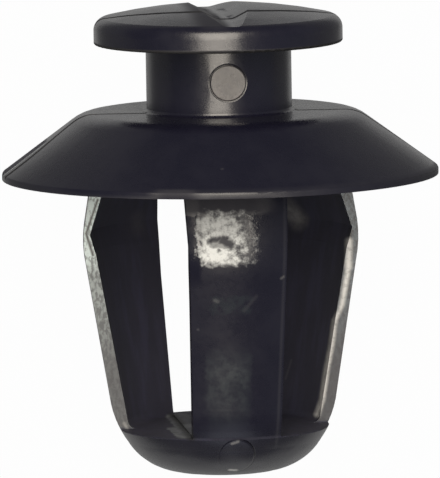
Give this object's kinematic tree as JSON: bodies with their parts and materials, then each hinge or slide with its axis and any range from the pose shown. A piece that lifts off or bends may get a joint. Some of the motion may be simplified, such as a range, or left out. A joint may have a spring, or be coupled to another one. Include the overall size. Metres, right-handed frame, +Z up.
{
  "type": "trim clip",
  "caption": "Moulded push-in trim clip: round head, short neck, umbrella skirt with a thin lip, and a tapered hollow cage of three legs on a rounded nose.",
  "frame": {"origin": "on the table, under the middle of the lying clip's bounding box", "axes": "+X across the clip, +Y the way the head points as it lies, +Z up; the clip's own axis is in the YZ plane and climbs 24.1 degrees towards the head"},
  "size_m": [0.018, 0.0201, 0.0165],
  "materials": {
    "polyamide": "black moulded polyamide, satin, with fine scuffs and a few paler rough patches"
  },
  "bodies": {
    "root": {"clip": "polyamide"}
  },
  "joints": []
}
